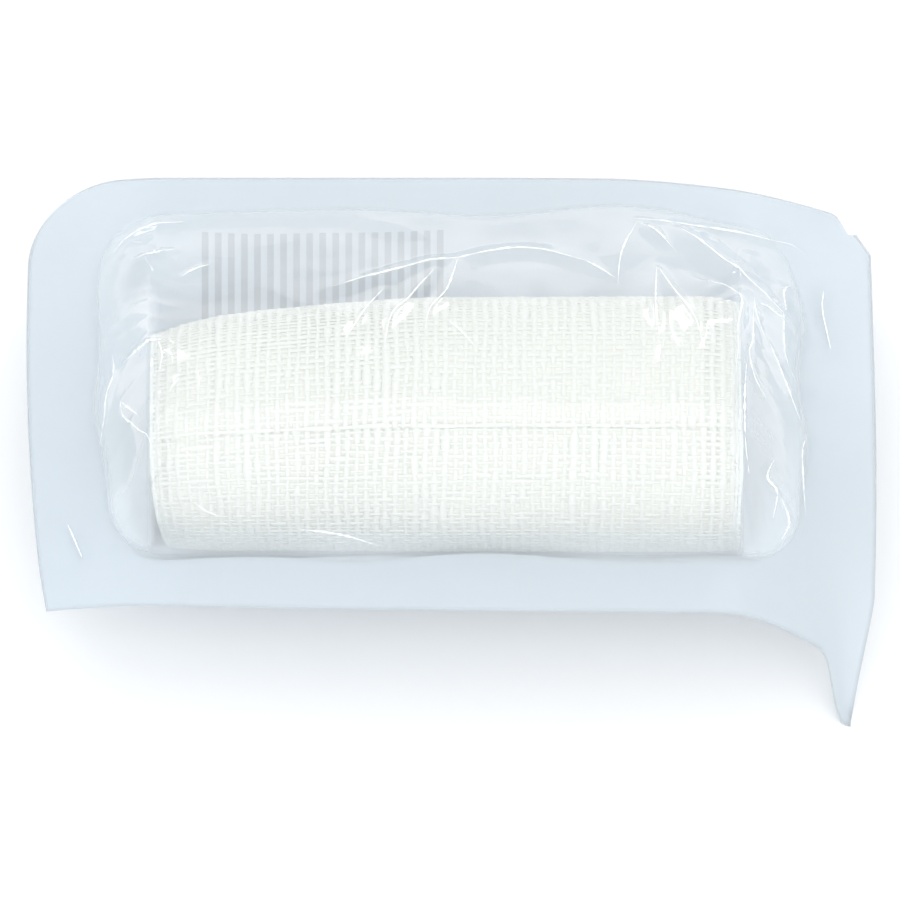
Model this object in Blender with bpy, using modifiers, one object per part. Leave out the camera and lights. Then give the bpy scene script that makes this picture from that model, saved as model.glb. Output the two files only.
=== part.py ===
"""Conforming bandage in a peel pouch.

A strip of gauze, wound into a roll, lies in a sealed pouch: clear film in front, paper behind.
X runs along the roll, +Y away from the viewer, +Z up, in metres. The roll rests on its flattened
underside, the pouch's margin stands clear of the table round it, and the pouch's near right corner
droops to the table. The origin is on the table, under the middle of the pouch.
"""

import math

import bmesh
import bpy
from mathutils import Vector

# Gauze roll. One turn here stands for about five of the gauze's thin turns.
BANDAGE_WIDTH = 0.0750
ROLL_RADIUS = 0.0168
EYE_RADIUS = 0.0016
TURN_WALL = 0.0009
TURN_GAP = 0.0004
REST_STRIP = 0.0120
FREE_END_ANGLE = math.radians(123.0)
ROLL_STEPS = 196

# Pouch sheets
FILM_WALL = 0.0003
PAPER_WALL = 0.0003
FIT_GAP = 0.0003
SHEET_EASE = 0.0001

# Pouch cavity: room between the roll and the seal
ROOM_LEFT = 0.0074
ROOM_RIGHT = 0.0086
ROOM_NEAR = 0.0056
ROOM_FAR = 0.0142

# Sealed margin: its widths, its height over the table and how far its ends hang down
SEAL_LEFT = 0.0094
SEAL_RIGHT = 0.0094
SEAL_NEAR = 0.0083
SEAL_FAR = 0.0053
MARGIN_HEIGHT = 0.0163
SAG_LEFT = 0.0030
SAG_RIGHT = 0.0028
SAG_FAR_RIGHT = 0.0050
SAG_FAR_REACH = 0.0340

# Outline of the pouch
ROUND_CORNER = 0.0120
CUT_ACROSS = 0.0045
CUT_ALONG = 0.0080
NEAR_SET_IN = 0.0016
LEFT_SET_IN = 0.0034
FAR_SET_IN = 0.0024
RIGHT_SET_IN = 0.0008
TAIL_OUT = 0.0070
TAIL_IN = 0.0028
TAIL_REACH = 0.0068
DROOP_ACROSS = 0.0200
DROOP_ALONG = 0.0360
DROOP_POWER = 2.4

# Distance over which the margin's slope is measured
SLOPE_STEP = 0.0005

# Girth of the roll along its width, from its left end
ROLL_TAPER = (
    # along, girth
    (0.00, 0.87),
    (0.05, 0.93),
    (0.22, 0.98),
    (0.96, 0.985),
    (1.00, 0.95),
)

# Main folds of the film: ends as shares of the cavity's half length and half depth from its middle,
# half width and rise as shares of the roll's radius
FILM_FOLDS = (
    # start_x, start_y, end_x, end_y, half_width, rise
    (0.54, 0.96, 0.97, 0.90, 0.14, 0.075),
    (0.54, 0.95, 0.94, 0.33, 0.15, 0.130),
    (0.54, 0.94, 0.80, 0.16, 0.14, 0.110),
    (0.54, 0.92, 0.58, -0.08, 0.15, 0.080),
    (0.88, 0.30, 0.95, -0.52, 0.13, 0.090),
    (0.02, 0.60, -0.12, -0.05, 0.14, 0.070),
    (-0.80, 0.94, -0.84, 0.00, 0.15, 0.100),
    (-0.86, 0.10, -0.97, -0.40, 0.13, 0.090),
)

# Grid steps of the pouch sheets
STEPS_SEAL_LEFT = 4
STEPS_END_LEFT = 6
STEPS_ROLL_LEFT = 12
STEPS_ROLL_RIGHT = 16
STEPS_END_RIGHT = 6
STEPS_SEAL_RIGHT = 6
STEPS_SEAL_NEAR = 3
STEPS_WALL_NEAR = 4
STEPS_STRIP = 4
STEPS_CROWN_FAR = 2
STEPS_SLOPE_FAR = 9
STEPS_SEAL_FAR = 3

# Sizes that follow from the ones above
TURN_PITCH = TURN_WALL + TURN_GAP
UNDER_RADIUS = ROLL_RADIUS - TURN_PITCH * (FREE_END_ANGLE + math.pi / 2) / math.tau
FLAT_SHARE = math.sqrt(1 - (REST_STRIP / 2 / UNDER_RADIUS) ** 2)
ROLL_FLOOR = PAPER_WALL + FIT_GAP
AXIS_HEIGHT = ROLL_FLOOR + UNDER_RADIUS * FLAT_SHARE
WRAP_RADIUS = ROLL_RADIUS + FIT_GAP + SHEET_EASE

CAVITY_LENGTH = ROOM_LEFT + BANDAGE_WIDTH + ROOM_RIGHT
CAVITY_LEFT = -CAVITY_LENGTH / 2
CAVITY_RIGHT = CAVITY_LENGTH / 2
ROLL_LEFT = CAVITY_LEFT + ROOM_LEFT
ROLL_RIGHT = CAVITY_RIGHT - ROOM_RIGHT
CAVITY_NEAR = -ROLL_RADIUS - ROOM_NEAR
CAVITY_FAR = ROLL_RADIUS + ROOM_FAR
EDGE_LEFT = CAVITY_LEFT - SEAL_LEFT
EDGE_RIGHT = CAVITY_RIGHT + SEAL_RIGHT
EDGE_NEAR = CAVITY_NEAR - SEAL_NEAR
EDGE_FAR = CAVITY_FAR + SEAL_FAR
NEAR_RIGHT = Vector((EDGE_RIGHT - RIGHT_SET_IN, EDGE_NEAR))
TIP = NEAR_RIGHT + Vector((-TAIL_IN, -TAIL_OUT))
TABLE_CLEAR = PAPER_WALL + FIT_GAP / 2 + SHEET_EASE


def clamp(value, low=0.0, high=1.0):
    return max(low, min(high, value))


def clear_scene():
    for obj in list(bpy.data.objects):
        bpy.data.objects.remove(obj, do_unlink=True)


def make_material(name, color, roughness, alpha=1.0):
    material = bpy.data.materials.new(name)
    material.use_nodes = True
    shader = material.node_tree.nodes["Principled BSDF"]
    shader.inputs["Base Color"].default_value = (*color, 1.0)
    shader.inputs["Roughness"].default_value = roughness
    shader.inputs["Metallic"].default_value = 0.0
    shader.inputs["Alpha"].default_value = alpha
    return material


def grid_object(name, columns, rows, place, material, collection):
    """A grid of columns by rows steps whose points, from 0 to 1 each way, are put in place by a function."""
    grid = bmesh.new()
    bmesh.ops.create_grid(grid, x_segments=columns, y_segments=rows, size=0.5)
    for point in grid.verts:
        point.co = place(point.co.x + 0.5, point.co.y + 0.5)
    bmesh.ops.triangulate(grid, faces=grid.faces[:], quad_method="FIXED")
    mesh = bpy.data.meshes.new(name)
    grid.to_mesh(mesh)
    grid.free()
    mesh.shade_smooth()
    mesh.set_sharp_from_angle(angle=math.radians(40))
    mesh.materials.append(material)
    obj = bpy.data.objects.new(name, mesh)
    collection.objects.link(obj)
    return obj


def thicken(obj, thickness, offset):
    shell = obj.modifiers.new("Wall", "SOLIDIFY")
    shell.thickness = thickness
    shell.offset = offset
    shell.use_even_offset = True
    shell.use_quality_normals = True


def spread_lines(runs):
    """Grid lines over a row of runs, each with its start, end and number of steps."""
    lines = [runs[0][0]]
    for start, end, steps in runs:
        lines += [start + (end - start) * step / steps for step in range(1, steps + 1)]
    return lines


# Roll

def wound_radius(share):
    """Radius along the strip, from the eye at 0 to the free end at 1, with more steps on the wide turns."""
    inner = (EYE_RADIUS + TURN_WALL) ** 1.5
    outer = ROLL_RADIUS ** 1.5
    return (inner + (outer - inner) * share) ** (2 / 3)


def roll_point(along_strip, along_width):
    radius = wound_radius(along_strip)
    angle = FREE_END_ANGLE - math.tau * (ROLL_RADIUS - radius) / TURN_PITCH
    across = radius * math.cos(angle)
    up = max(radius * math.sin(angle), -radius * FLAT_SHARE)
    place, girth = ROLL_TAPER[round(along_width * (len(ROLL_TAPER) - 1))]
    return Vector((ROLL_LEFT + BANDAGE_WIDTH * place,
                   across * girth,
                   ROLL_FLOOR + (up + UNDER_RADIUS * FLAT_SHARE) * girth))


def make_gauze_roll(collection):
    gauze = make_material("white_gauze", (0.93, 0.94, 0.90), 0.9)
    roll = grid_object("gauze_roll", ROLL_STEPS, len(ROLL_TAPER) - 1, roll_point, gauze, collection)
    thicken(roll, TURN_WALL, -1.0)
    return roll


# Pouch outline, seen from above

def round_far_left(x, y):
    """Bend the square far left corner to a quarter circle."""
    s = clamp((EDGE_LEFT + ROUND_CORNER - x) / ROUND_CORNER)
    t = clamp((y - EDGE_FAR + ROUND_CORNER) / ROUND_CORNER)
    x += ROUND_CORNER * s * (1 - math.sqrt(1 - t * t / 2))
    y -= ROUND_CORNER * t * (1 - math.sqrt(1 - s * s / 2))
    return x, y


def cut_far_right(x, y):
    """Bend the square far right corner to a slanted cut."""
    s = clamp((x - EDGE_RIGHT + CUT_ACROSS) / CUT_ACROSS)
    t = clamp((y - EDGE_FAR + CUT_ALONG) / CUT_ALONG)
    if s > 0 and t > 0:
        drawn_in = 1 - max(s, t) / (s + t)
        x -= CUT_ACROSS * s * drawn_in
        y -= CUT_ALONG * t * drawn_in
    return x, y


def draw_out_tail(x, y):
    """Draw the near right corner out into its drooping tail."""
    distance = math.hypot(x - NEAR_RIGHT.x, y - NEAR_RIGHT.y)
    pull = clamp(1 - (distance / TAIL_REACH) ** 2) ** 2
    return x - TAIL_IN * pull, y - TAIL_OUT * pull


def plan_point(x, y):
    """Where a point of the plain rectangle lies once the outline has its bows and corners."""
    in_left = clamp((CAVITY_LEFT - x) / SEAL_LEFT)
    in_right = clamp((x - CAVITY_RIGHT) / SEAL_RIGHT)
    in_near = clamp((CAVITY_NEAR - y) / SEAL_NEAR)
    in_far = clamp((y - CAVITY_FAR) / SEAL_FAR)
    share_x = clamp((x - EDGE_LEFT) / (EDGE_RIGHT - EDGE_LEFT))
    share_y = clamp((y - EDGE_NEAR) / (EDGE_FAR - EDGE_NEAR))
    bowed_x = x + LEFT_SET_IN * in_left * clamp(1 - share_y / 0.74) ** 2
    bowed_x -= RIGHT_SET_IN * in_right * clamp(1 - share_y / 0.50) ** 2
    bowed_y = y + NEAR_SET_IN * in_near * (1 - share_x) ** 2
    bowed_y -= FAR_SET_IN * in_far * clamp(share_x * 2 - 1) ** 3
    bowed_x, bowed_y = round_far_left(bowed_x, bowed_y)
    bowed_x, bowed_y = cut_far_right(bowed_x, bowed_y)
    return draw_out_tail(bowed_x, bowed_y)


# Pouch sheets, seen from the side

def margin_height(x, y):
    """Height of the sealed margin over the table, at a place seen from above."""
    left = clamp((ROLL_LEFT - x) / (ROLL_LEFT - EDGE_LEFT))
    right = clamp((x - ROLL_RIGHT) / (EDGE_RIGHT - ROLL_RIGHT))
    height = MARGIN_HEIGHT - SAG_LEFT * left ** 1.5 - SAG_RIGHT * right ** 1.5
    from_far_right = math.hypot(x - EDGE_RIGHT, y - EDGE_FAR) / SAG_FAR_REACH
    height -= SAG_FAR_RIGHT * clamp(1 - from_far_right) ** 1.5
    from_tip = math.hypot((x - TIP.x) / DROOP_ACROSS, (y - TIP.y) / DROOP_ALONG)
    height -= MARGIN_HEIGHT * clamp(1 - from_tip) ** DROOP_POWER
    return max(height, TABLE_CLEAR)


def seal_gap(x, y):
    """Upright distance that leaves the fit gap square to a sloping margin."""
    slope_x = (margin_height(x + SLOPE_STEP, y) - margin_height(x - SLOPE_STEP, y)) / (2 * SLOPE_STEP)
    slope_y = (margin_height(x, y + SLOPE_STEP) - margin_height(x, y - SLOPE_STEP)) / (2 * SLOPE_STEP)
    return FIT_GAP * math.sqrt(1 + slope_x ** 2 + slope_y ** 2)


def touch_point(y, z, side, end):
    """Where a sheet from (y, z) touches the roll: side 1 over, -1 under; end 1 far, -1 near."""
    distance = math.hypot(y, z - AXIS_HEIGHT)
    angle = math.atan2(z - AXIS_HEIGHT, y)
    angle += side * end * math.acos(clamp(WRAP_RADIUS / distance))
    return WRAP_RADIUS * math.cos(angle), AXIS_HEIGHT + WRAP_RADIUS * math.sin(angle)


def drawn_round(y, near_height, far_height, side):
    """Height of a sheet drawn tight round the roll between its two seals."""
    near_y, near_z = touch_point(CAVITY_NEAR, near_height, side, -1)
    far_y, far_z = touch_point(CAVITY_FAR, far_height, side, 1)
    if y < near_y:
        share = (y - CAVITY_NEAR) / (near_y - CAVITY_NEAR)
        return near_height + (near_z - near_height) * share
    if y > far_y:
        share = (CAVITY_FAR - y) / (CAVITY_FAR - far_y)
        return far_height + (far_z - far_height) * share
    return AXIS_HEIGHT + side * math.sqrt(WRAP_RADIUS ** 2 - y ** 2)


def end_share(x):
    """1 along the roll, falling to 0 at the seal past either end of it."""
    if x < ROLL_LEFT - FIT_GAP:
        past = (ROLL_LEFT - FIT_GAP - x) / (ROOM_LEFT - FIT_GAP)
    elif x > ROLL_RIGHT + FIT_GAP:
        past = (x - ROLL_RIGHT - FIT_GAP) / (ROOM_RIGHT - FIT_GAP)
    else:
        past = 0.0
    return max(math.cos(clamp(past) * math.pi / 2), 0.0) ** 1.2


def fold_rise(x, y):
    """How far the main folds lift the film."""
    half_length = CAVITY_LENGTH / 2
    half_depth = (CAVITY_FAR - CAVITY_NEAR) / 2
    middle_y = (CAVITY_FAR + CAVITY_NEAR) / 2
    rise = 0.0
    for start_x, start_y, end_x, end_y, half_width, height in FILM_FOLDS:
        start = Vector((start_x * half_length, middle_y + start_y * half_depth))
        line = Vector((end_x * half_length, middle_y + end_y * half_depth)) - start
        along = clamp((Vector((x, y)) - start).dot(line) / line.length_squared)
        distance = (Vector((x, y)) - start - line * along).length
        profile = clamp(1 - distance / (half_width * ROLL_RADIUS))
        rise += height * ROLL_RADIUS * profile * math.sin(math.pi * (0.1 + 0.8 * along))
    return rise


def sheet_height(x, y, side):
    """Height of the film's inner face (side 1) or the paper's upper face (side -1)."""
    plan_x, plan_y = plan_point(x, y)
    seal = margin_height(plan_x, plan_y) + side * seal_gap(plan_x, plan_y) / 2
    if not (CAVITY_LEFT < x < CAVITY_RIGHT and CAVITY_NEAR < y < CAVITY_FAR):
        return seal
    near = margin_height(x, CAVITY_NEAR) + side * FIT_GAP / 2
    far = margin_height(x, CAVITY_FAR) + side * FIT_GAP / 2
    drawn = max(drawn_round(y, near, far, side), PAPER_WALL)
    if side > 0:
        drawn += fold_rise(x, y)
    return seal + (drawn - seal) * end_share(x)


def sheet_lines():
    middle = (ROLL_LEFT + ROLL_RIGHT) / 2
    columns = spread_lines((
        (EDGE_LEFT, CAVITY_LEFT, STEPS_SEAL_LEFT),
        (CAVITY_LEFT, ROLL_LEFT - FIT_GAP, STEPS_END_LEFT),
        (ROLL_LEFT - FIT_GAP, middle, STEPS_ROLL_LEFT),
        (middle, ROLL_RIGHT + FIT_GAP, STEPS_ROLL_RIGHT),
        (ROLL_RIGHT + FIT_GAP, CAVITY_RIGHT, STEPS_END_RIGHT),
        (CAVITY_RIGHT, EDGE_RIGHT, STEPS_SEAL_RIGHT),
    ))
    rows = spread_lines((
        (EDGE_NEAR, CAVITY_NEAR, STEPS_SEAL_NEAR),
        (CAVITY_NEAR, -REST_STRIP / 2, STEPS_WALL_NEAR),
        (-REST_STRIP / 2, REST_STRIP / 2, STEPS_STRIP),
        (REST_STRIP / 2, ROLL_RADIUS / 2, STEPS_CROWN_FAR),
        (ROLL_RADIUS / 2, CAVITY_FAR, STEPS_SLOPE_FAR),
        (CAVITY_FAR, EDGE_FAR, STEPS_SEAL_FAR),
    ))
    return columns, rows


def make_sheet(name, side, material, collection):
    columns, rows = sheet_lines()

    def place(u, v):
        x = columns[round(u * (len(columns) - 1))]
        y = rows[round(v * (len(rows) - 1))]
        return Vector((*plan_point(x, y), sheet_height(x, y, side)))

    return grid_object(name, len(columns) - 1, len(rows) - 1, place, material, collection)


def make_film_cover(collection):
    film = make_sheet("film_cover", 1, make_material("clear_film", (0.88, 0.94, 0.97), 0.12, 0.35), collection)
    thicken(film, FILM_WALL, 1.0)
    return film


def make_paper_backing(collection):
    paper = make_sheet("paper_backing", -1, make_material("pouch_paper", (0.80, 0.87, 0.92), 0.75), collection)
    thicken(paper, PAPER_WALL, -1.0)
    return paper


def centre_on_origin(objects, outline):
    """Slide everything level so that the origin is under the middle of the outline's box."""
    corners = [point.co for point in outline.data.vertices]
    middle = [(min(c[axis] for c in corners) + max(c[axis] for c in corners)) / 2 for axis in (0, 1)]
    for obj in objects:
        obj.location = (-middle[0], -middle[1], 0.0)


def main():
    clear_scene()
    collection = bpy.data.collections.new("conforming_bandage")
    bpy.context.scene.collection.children.link(collection)
    roll = make_gauze_roll(collection)
    film = make_film_cover(collection)
    paper = make_paper_backing(collection)
    centre_on_origin((roll, film, paper), paper)
    bpy.context.view_layer.update()


main()
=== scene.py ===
"""Looks of the conforming bandage in its peel pouch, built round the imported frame.

The roll is one long strip of gauze wound up, with its last turn woven from real threads. The pouch is
a clear, creased film over it and a paper sheet under it, sealed together all round. Lengths are in
metres, X along the roll, +Y away from the viewer, +Z up. Shapes are worked out from the middle line of
the solid roll, seen from above, and FRAME_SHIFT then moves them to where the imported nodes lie. The roll
and what is draped round it lie ROLL_Y from that line, at the photo's place.
"""

import math

import bpy
import numpy as np
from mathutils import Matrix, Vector


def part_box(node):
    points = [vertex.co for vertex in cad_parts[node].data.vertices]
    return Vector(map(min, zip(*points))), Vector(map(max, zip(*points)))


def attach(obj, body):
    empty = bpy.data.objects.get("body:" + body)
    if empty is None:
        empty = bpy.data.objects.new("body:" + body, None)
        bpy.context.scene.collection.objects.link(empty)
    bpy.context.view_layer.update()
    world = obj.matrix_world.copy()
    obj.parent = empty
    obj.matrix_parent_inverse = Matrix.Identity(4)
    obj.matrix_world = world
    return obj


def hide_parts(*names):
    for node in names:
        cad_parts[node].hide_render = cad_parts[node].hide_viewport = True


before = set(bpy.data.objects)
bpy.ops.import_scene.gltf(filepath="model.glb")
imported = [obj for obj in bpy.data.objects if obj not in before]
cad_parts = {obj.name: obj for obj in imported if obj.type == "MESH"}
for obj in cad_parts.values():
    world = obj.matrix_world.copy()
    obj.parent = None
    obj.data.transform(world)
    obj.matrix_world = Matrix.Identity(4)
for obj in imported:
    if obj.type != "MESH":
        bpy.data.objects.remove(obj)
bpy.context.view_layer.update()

MM = 0.001

# Roll: the strip's real width and length, and the wound roll's radii
BANDAGE_WIDTH = 0.0750
BANDAGE_LENGTH = 4.0
ROLL_RADIUS = 0.0168
EYE_RADIUS = 0.0014
UNDER_RADIUS = 0.01603
REST_STRIP = 0.0120
FREE_END_ANGLE = math.radians(123.0)
GAUZE_THICKNESS = 0.00015

# How far the roll's middle line lies from the solid roll's
ROLL_Y = -0.0014

# Girth of the roll along its width, from its left end, and the share of the width that smooths it
ROLL_TAPER = (
    # along, girth
    (0.00, 0.82),
    (0.05, 0.87),
    (0.11, 0.905),
    (0.20, 0.93),
    (0.32, 0.955),
    (0.46, 0.98),
    (0.96, 0.985),
    (1.00, 0.95),
)
TAPER_BLUR = 0.02
TAPER_BLUR_STEPS = 9

# Left end of the roll: bent a little nearer the viewer, and pushed in below a height in roll radii
LEFT_BEND = 0.0010
LEFT_BEND_REACH = 0.0380
LEFT_LEAN = 0.0020
LEFT_LEAN_REACH = 0.0180
LEAN_FROM = 0.84
LEAN_OVER = 1.2
LEAN_POWER = 1.5

# Wound strip under the last turn: where its width has lines, and how far its edges stray
STRIP_STEP = 0.0010
STRIP_LINES = (0.0, 0.03, 0.07, 0.12, 0.20, 0.32, 0.46, 0.94, 0.98, 1.0)
STRIP_SET_IN = 0.0006
STRIP_UNEVEN = 0.00002
LEFT_STRAY = 0.00035
RIGHT_STRAY = 0.00030
LEFT_HOLLOW = 0.0005
RIGHT_HOLLOW = 0.0004

# Threads of the last turn
THREAD_RADIUS = 0.000065
THREAD_WAVE = 0.00004
WARP_WIDTH = 0.00075
WEFT_WIDTH = 0.00042
WARP_PITCH = 0.00125
WEFT_PITCH = 0.00088
WARP_FILL = 0.8
WARP_GIRTHS = (0.75, 1.2)
WEFT_GIRTHS = (0.7, 1.2)
GIRTH_CHANGE = 0.20
SELVAGE_THREADS = 3
SELVAGE_PITCH = 0.00050
SELVAGE_FADE = 0.002
THREAD_END = 0.0005
WEFT_OVERHANG = 0.6

# Lap of the last turn, with its ends counted in weft threads
LAP_STEP = 0.00017
WARP_START = -0.45
LAP_THREADS = 3

# How far the threads stray, alone and with their neighbours: warp in metres, weft in pitches
WARP_STRAY_ALONE = 0.00007
WARP_STRAY_TOGETHER = 0.00010
WEFT_STRAY_ALONE = 0.07
WEFT_STRAY_TOGETHER = 0.12

# Pouch sheets
FILM_THICKNESS = 0.00005
PAPER_THICKNESS = 0.00016
SEAL_GAP = 0.00005
WRAP_RADIUS = 0.0172
FILM_TAPER = 0.35
SEAL_FADE = 0.0010
FILM_FADE = 0.004
PAPER_FADE = 0.005
PAPER_LIFT = 0.004

# Fall of the sheets past the roll's ends
END_EASE = 0.0003
PAPER_END_REACH = 0.32
FILM_END_ROUND = 0.4
FILM_END_STRAIGHT = 0.6
FILM_END_POWER = 1.2

# Outline of the cavity
CAVITY_CORNER = 0.0074
CAVITY_CORNER_NEAR_LEFT = 0.0105
CAVITY_WANDER = 0.0007
WANDER_SHARE_ACROSS = 0.6
WANDER_SLANT = 0.4
WANDER_FADE = 0.004

# Where the film is crumpled and whitens; the same haze is painted light that lifts the shade in the wells
# past the roll's ends and under its near side
CRUMPLE_AND_PAINTED_LIGHT_FADE = 0.0022
CRUMPLE_AND_PAINTED_LIGHT_FROM = 0.0176
CRUMPLE_AND_PAINTED_LIGHT_TO = 0.0190
CRUMPLE_AND_PAINTED_LIGHT_AHEAD = 0.6
CRUMPLE_AND_PAINTED_LIGHT_FAR = 0.35

# Unevenness of the sheets between their creases
FILM_WAVE = 0.00009
FILM_SMALL_WAVE = 0.00003
FILM_RIDGE = 0.00009
FILM_LOWEST = -0.00035
PAPER_WAVE = 0.00025
PAPER_RIDGE = 0.0003

# Creases: how their rise falls off to both sides and at both ends, and the pinched fold on the crest,
# whose white tube is also a painted highlight
CREASE_STRAIGHT = 0.65
CREASE_CURVED = 0.35
CREASE_FALL = 2.2
CREASE_PARTS = 10
CURVE_STEPS = 16
CREST_ROUND = 0.00010
CREST_RADIUS = 0.00010
CREST_POINTS = 48
CREST_LEAST_RISE = 0.3
CREST_START_FADE = 0.35
CREST_FINISH_FADE = 0.5
CREST_UNEVEN = 0.30
CREST_SINK = 0.3
CREST_TAPER_FROM = 0.02
CREST_TAPER_OVER = 0.96
CREST_TAPER_POWER = 0.3

# Fine wrinkles from each end of the roll, with ranges that each wrinkle draws from
TENSION_WRINKLES = 16
TENSION_STARTS = (-0.8, 1.1)
TENSION_SPREADS = (1.2, 1.9)
TENSION_SHIFTS = (-0.003, 0.003)
TENSION_OVERLAPS = (0.0, 0.004)
TENSION_REACHES = (-0.002, 0.001)
TENSION_WIDTHS = (0.5, 1.1)
TENSION_RISES = (0.15, 0.45)
TENSION_ARCH_FROM = 0.1
TENSION_ARCH_OVER = 0.8

# Grid of the sheets
MARGIN_STEP = 0.0007
FAR_MARGIN_STEP = 0.0006
CAVITY_ROW_STEP = 0.00042
LEFT_STEP = 0.00034
MIDDLE_STEP = 0.00046
RIGHT_STEP = 0.00036
LEFT_STEP_PAST_END = 0.002
RIGHT_STEP_FROM = 0.022

# Pouch cavity and sealed margin, as in the solids
ROOM_LEFT = 0.0074
ROOM_RIGHT = 0.0086
ROOM_NEAR = 0.0056
ROOM_FAR = 0.0142
SEAL_LEFT = 0.0094
SEAL_RIGHT = 0.0094
SEAL_NEAR = 0.0083
SEAL_FAR = 0.0053
MARGIN_HEIGHT = 0.0163
SAG_LEFT = 0.0030
SAG_RIGHT = 0.0028
SAG_FAR_RIGHT = 0.0050
SAG_FAR_REACH = 0.0340
SAG_POWER = 1.5

# Outline of the pouch, as in the solids
ROUND_CORNER = 0.0120
CUT_ACROSS = 0.0045
CUT_ALONG = 0.0080
NEAR_SET_IN = 0.0016
LEFT_SET_IN = 0.0034
FAR_SET_IN = 0.0024
RIGHT_SET_IN = 0.0008
LEFT_BOW = 0.74
RIGHT_BOW = 0.50
TAIL_OUT = 0.0070
TAIL_IN = 0.0028
TAIL_REACH = 0.0068
DROOP_ACROSS = 0.0200
DROOP_ALONG = 0.0360
DROOP_POWER = 2.4

# Places that follow from the sizes
ROLL_FLOOR = 0.0006
FLAT_SHARE = math.sqrt(1 - (REST_STRIP / 2 / UNDER_RADIUS) ** 2)
AXIS_HEIGHT = ROLL_FLOOR + UNDER_RADIUS * FLAT_SHARE
CAVITY_LENGTH = ROOM_LEFT + BANDAGE_WIDTH + ROOM_RIGHT
CAVITY_LEFT = -CAVITY_LENGTH / 2
CAVITY_RIGHT = CAVITY_LENGTH / 2
ROLL_LEFT = CAVITY_LEFT + ROOM_LEFT
ROLL_RIGHT = CAVITY_RIGHT - ROOM_RIGHT
CAVITY_NEAR = -ROLL_RADIUS - ROOM_NEAR
CAVITY_FAR = ROLL_RADIUS + ROOM_FAR
EDGE_LEFT = CAVITY_LEFT - SEAL_LEFT
EDGE_RIGHT = CAVITY_RIGHT + SEAL_RIGHT
EDGE_NEAR = CAVITY_NEAR - SEAL_NEAR
EDGE_FAR = CAVITY_FAR + SEAL_FAR
NEAR_RIGHT = (EDGE_RIGHT - RIGHT_SET_IN, EDGE_NEAR)
TIP = (NEAR_RIGHT[0] - TAIL_IN, NEAR_RIGHT[1] - TAIL_OUT)
PAPER_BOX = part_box("paper_backing")
FRAME_SHIFT = np.array([0.0, PAPER_BOX[0].y - TIP[1], 0.0])

# Plain printed bars on the paper behind the roll
PRINT_PITCH = 0.0017
PRINT_ACROSS = (-19.3 * PRINT_PITCH, -0.3 * PRINT_PITCH)
PRINT_ALONG = (0.0180, 0.0288)
PRINT_STRENGTH = 0.80
PRINT_SHARPNESS = 3.0
PRINT_FILL = 0.6

# Camera and light
CAMERA_ELEVATION = math.radians(57.0)
CAMERA_DISTANCE = 1.5
VIEW_WIDTH = 0.11583
VIEW_CENTRE = Vector((0.0, -0.003522, 0.013537))
SENSOR_WIDTH = 36.0
CLIP_START = 0.1
CLIP_END = 20.0
FLOOR_HALF = 4.0
WORLD_COLOR = (0.97, 0.985, 1.0, 1)
WORLD_STRENGTH = 1.14
PANELS = (
    # name, azimuth and elevation in degrees, distance, width and height in metres, power in watts
    ("left_panel", 207, 40, 1.0, 0.10, 0.64, 0.7),
    ("right_panel", 150, 40, 1.0, 0.10, 0.64, 0.9),
    ("front_panel", 0, 36, 1.5, 3.2, 2.2, 11.0),
)

# Colours, darker and lighter where there are two
THREAD_COLORS = ((0.825, 0.81, 0.735, 1), (0.86, 0.845, 0.775, 1))
# The layers are a little lighter than the threads: painted light that lifts the shade seen through the
# holes of the last turn
LAYER_COLORS = ((0.86, 0.82, 0.71, 1), (0.90, 0.87, 0.78, 1))
COOL_PAPER = ((0.69, 0.75, 0.80, 1), (0.74, 0.795, 0.845, 1))
NEUTRAL_PAPER = ((0.715, 0.75, 0.775, 1), (0.765, 0.795, 0.815, 1))
INK_COLOR = (0.40, 0.43, 0.46, 1)
CLEAR_FILM = (0.99, 0.995, 0.998, 1)
HAZE_COLOR = (0.88, 0.94, 0.98, 1)
# White of the crest tubes: whitened fold, and a painted highlight along the crest lines
CREST_PAINTED_HIGHLIGHT_COLOR = (0.93, 0.955, 0.965, 1)
FLOOR_COLORS = ((0.93, 0.93, 0.93, 1), (0.95, 0.95, 0.95, 1))

# Layers of gauze: how far their threads wander, how narrow they look, and how weave (painted shade in the
# gaps between threads) and tone mix
LAYER_WANDER_ACROSS = 0.0005
LAYER_WANDER_ALONG = 0.0004
LAYER_NARROWING = 1.6
WEAVE_PAINTED_SHADE_SHARE = 0.75
TONE_SHARE = 0.35

# Paper: how fibre and cloud mix, and the share of light that comes through
FIBRE_SHARE = 0.35
CLOUD_SHARE = 0.65
PAPER_THROUGH = 0.50

# Film: share of haze and roughness of the gloss, and what crumpling (with painted light in the shaded
# wells) and the seal add to them
FILM_HAZE = 0.13
CRUMPLE_AND_PAINTED_LIGHT_HAZE = 0.18
FILM_ROUGHNESS = 0.11
SEALED_ROUGHNESS = 0.30

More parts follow.
